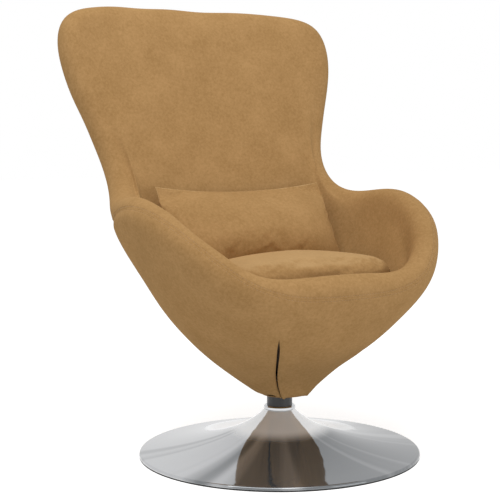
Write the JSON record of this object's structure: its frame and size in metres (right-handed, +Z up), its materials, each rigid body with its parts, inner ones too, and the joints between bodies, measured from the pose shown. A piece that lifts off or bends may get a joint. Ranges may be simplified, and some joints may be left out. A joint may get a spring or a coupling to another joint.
{
  "type": "egg chair",
  "caption": "High-backed upholstered bucket armchair with a loose seat cushion and lumbar pillow, turning on a polished trumpet base.",
  "frame": {"origin": "on the floor, at the swivel axis, in the middle of the base's underside", "axes": "+Z up along the swivel axis, -Y towards the sitter's front, +X to the sitter's left; left and right in the nodes' names are as seen from the front"},
  "size_m": [0.6974, 0.7272, 0.9657],
  "materials": {
    "chrome": "polished",
    "black_steel": "satin black",
    "steel": "satin",
    "rubber": "matt",
    "nylon": "matt",
    "moulded_shell": "matt",
    "plywood": "sanded",
    "foam": "open foam",
    "fibre": "fibre filling",
    "velvet": "short nap",
    "zip": "woven tape"
  },
  "bodies": {
    "base": {"base_gasket": "rubber", "base_disc": "chrome", "neck_ring": "chrome", "column_socket": "steel", "ballast_plate": "black_steel", "ballast_screws": "steel", "ballast_nuts": "steel", "column": "black_steel", "lower_bush": "nylon", "upper_bush": "nylon", "lower_race": "steel", "bearing_balls": "steel", "bearing_cage": "nylon"},
    "shell": {"upper_race": "steel", "spindle": "steel", "stop_washer": "steel", "spindle_clip": "steel", "swivel_plate": "black_steel", "plate_washers": "steel", "plate_bolts": "steel", "tee_nuts": "steel", "seat_board": "plywood", "shell_core": "moulded_shell", "outer_wadding": "foam", "seat_foam": "foam", "front_pad": "foam", "left_arm_pad": "foam", "right_arm_pad": "foam", "back_pad": "foam", "rim_roll": "foam", "inner_cover": "velvet", "front_cover": "velvet", "back_cover": "velvet", "bottom_cover": "velvet"},
    "cushion": {"seat_cushion": "velvet", "cushion_foam": "foam", "cushion_zip": "zip"},
    "pillow": {"lumbar_pillow": "velvet", "pillow_filling": "fibre", "pillow_zip": "zip"}
  },
  "joints": [
    {"name": "swivel", "type": "hinge", "parent": "base", "child": "shell", "pos_m": [0, 0, 0], "axis": [0, 0, 1], "continuous": true},
    {"name": "cushion_lift", "type": "slide", "parent": "shell", "child": "cushion", "axis": [0, 0, 1], "range_m": [0, 0.25]},
    {"name": "pillow_lift", "type": "slide", "parent": "cushion", "child": "pillow", "axis": [0, 0, 1], "range_m": [0, 0.25]}
  ]
}
